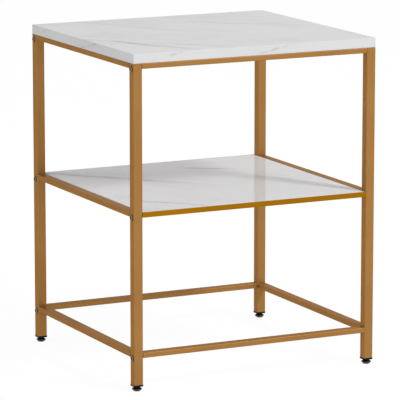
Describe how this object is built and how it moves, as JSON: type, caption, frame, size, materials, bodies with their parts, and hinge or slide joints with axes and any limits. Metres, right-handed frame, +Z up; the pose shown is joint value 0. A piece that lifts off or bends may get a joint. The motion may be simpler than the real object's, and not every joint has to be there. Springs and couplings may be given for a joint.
{
  "type": "end table with shelf",
  "caption": "Square-tube end table with a thick marble-look top, a glossy shelf at half height, a low frame of rails and screw feet that level it.",
  "frame": {"origin": "on the floor, under the middle of the table, with the feet screwed in", "axes": "+X to the right along the width, +Y to the rear along the depth, +Z up; the front faces -Y"},
  "size_m": [0.5056, 0.461, 0.625],
  "materials": {
    "marble_top": "satin white marble-look foil on fibreboard",
    "marble_shelf": "glossy white marble-look foil on fibreboard",
    "gold_frame": "satin gold powder coat on steel tube",
    "gold_shelf_edge": "glossy deep gold lacquer on steel angle",
    "bolt_steel": "antique bronze plating, dark at the rim and in the socket",
    "plain_steel": "zinc plated",
    "black_plastic": "moulded, slightly glossy",
    "black_steel": "black oxide"
  },
  "bodies": {
    "frame": {"top_board": "marble_top", "shelf_board": "marble_shelf", "front_left_leg": "gold_frame", "front_right_leg": "gold_frame", "rear_left_leg": "gold_frame", "rear_right_leg": "gold_frame", "front_top_rail": "gold_frame", "front_bottom_rail": "gold_frame", "rear_top_rail": "gold_frame", "rear_bottom_rail": "gold_frame", "left_top_rail": "gold_frame", "left_shelf_rail": "gold_frame", "left_bottom_rail": "gold_frame", "right_top_rail": "gold_frame", "right_shelf_rail": "gold_frame", "right_bottom_rail": "gold_frame", "front_shelf_angle": "gold_shelf_edge", "rear_shelf_angle": "gold_shelf_edge", "left_frame_bolts": "bolt_steel", "right_frame_bolts": "bolt_steel", "rail_hooks": "plain_steel", "shelf_hooks": "plain_steel", "top_screws": "plain_steel", "shelf_screws": "plain_steel", "cap_nuts": "plain_steel", "front_left_leg_cap": "black_plastic", "front_right_leg_cap": "black_plastic", "rear_left_leg_cap": "black_plastic", "rear_right_leg_cap": "black_plastic"},
    "front_left_pad": {"front_left_foot_pad": "black_plastic"},
    "front_left_stud": {"front_left_foot_stud": "black_steel"},
    "front_right_pad": {"front_right_foot_pad": "black_plastic"},
    "front_right_stud": {"front_right_foot_stud": "black_steel"},
    "rear_left_pad": {"rear_left_foot_pad": "black_plastic"},
    "rear_left_stud": {"rear_left_foot_stud": "black_steel"},
    "rear_right_pad": {"rear_right_foot_pad": "black_plastic"},
    "rear_right_stud": {"rear_right_foot_stud": "black_steel"}
  },
  "joints": [
    {"name": "front_left_foot_height", "type": "slide", "parent": "frame", "child": "front_left_pad", "axis": [0, 0, -1], "range_m": [0, 0.01]},
    {"name": "front_left_stud_turn", "type": "hinge", "parent": "front_left_pad", "child": "front_left_stud", "pos_m": [-0.241, -0.221, 0], "axis": [0, 0, -1], "range_deg": [0, 3600]},
    {"name": "front_right_foot_height", "type": "slide", "parent": "frame", "child": "front_right_pad", "axis": [0, 0, -1], "range_m": [0, 0.01]},
    {"name": "front_right_stud_turn", "type": "hinge", "parent": "front_right_pad", "child": "front_right_stud", "pos_m": [0.241, -0.221, 0], "axis": [0, 0, -1], "range_deg": [0, 3600]},
    {"name": "rear_left_foot_height", "type": "slide", "parent": "frame", "child": "rear_left_pad", "axis": [0, 0, -1], "range_m": [0, 0.01]},
    {"name": "rear_left_stud_turn", "type": "hinge", "parent": "rear_left_pad", "child": "rear_left_stud", "pos_m": [-0.241, 0.221, 0], "axis": [0, 0, -1], "range_deg": [0, 3600]},
    {"name": "rear_right_foot_height", "type": "slide", "parent": "frame", "child": "rear_right_pad", "axis": [0, 0, -1], "range_m": [0, 0.01]},
    {"name": "rear_right_stud_turn", "type": "hinge", "parent": "rear_right_pad", "child": "rear_right_stud", "pos_m": [0.241, 0.221, 0], "axis": [0, 0, -1], "range_deg": [0, 3600]}
  ],
  "couplings": [
    {"joint": "front_left_stud_turn", "follows": "front_left_foot_height", "rad_per_m": 6283.2},
    {"joint": "front_right_stud_turn", "follows": "front_right_foot_height", "rad_per_m": 6283.2},
    {"joint": "rear_left_stud_turn", "follows": "rear_left_foot_height", "rad_per_m": 6283.2},
    {"joint": "rear_right_stud_turn", "follows": "rear_right_foot_height", "rad_per_m": 6283.2}
  ]
}
